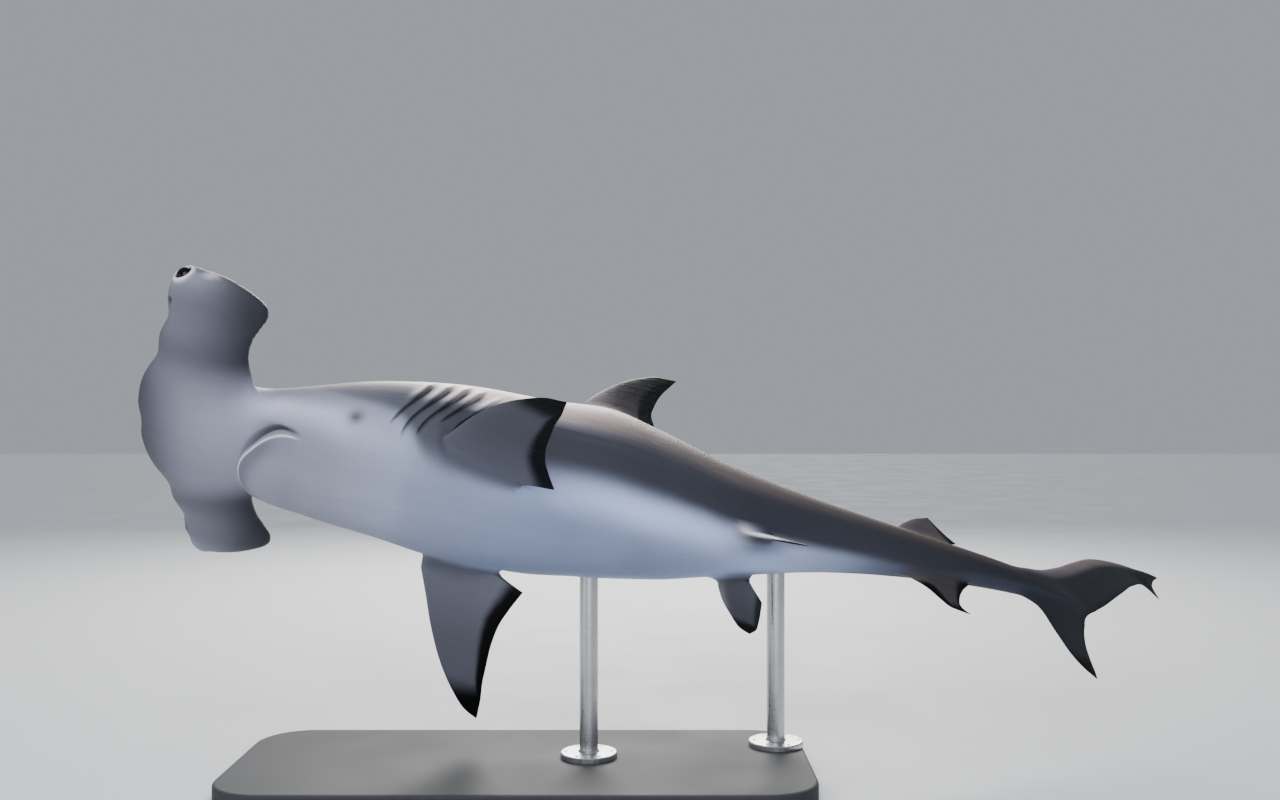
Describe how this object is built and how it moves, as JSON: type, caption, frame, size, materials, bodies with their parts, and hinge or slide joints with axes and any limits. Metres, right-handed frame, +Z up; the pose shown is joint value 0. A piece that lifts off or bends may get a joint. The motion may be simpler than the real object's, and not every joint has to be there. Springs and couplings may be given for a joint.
{
  "type": "scalloped hammerhead shark display model",
  "caption": "Life-size hammerhead shark in a banked swimming pose, with closed mouth and swung tail, held over a flat rounded base by short upright rods.",
  "frame": {"origin": "on the floor, at the middle of the underside of the stand's base", "axes": "+X towards the tail, along the base; +Z up; the belly is banked towards -Y"},
  "size_m": [2.2157, 1.2184, 0.9484],
  "materials": {
    "skin": "satin shark skin: pale grey belly, charcoal back, black fin tips",
    "eye": "polished, almost black",
    "stand_plate": "satin charcoal paint",
    "stand_steel": "satin steel"
  },
  "bodies": {
    "root": {"head": "skin", "lower_jaw": "skin", "eye_left": "eye", "eye_right": "eye", "throat_and_gills": "skin", "torso": "skin", "trunk": "skin", "tail_stem": "skin", "pectoral_fin_left": "skin", "pectoral_fin_right": "skin", "pelvic_fin_left": "skin", "pelvic_fin_right": "skin", "first_dorsal_fin": "skin", "second_dorsal_fin": "skin", "anal_fin": "skin", "caudal_fin_upper": "skin", "caudal_fin_lower": "skin", "stand_base": "stand_plate", "stand_rod_front": "stand_steel", "stand_rod_rear": "stand_steel"}
  },
  "joints": []
}
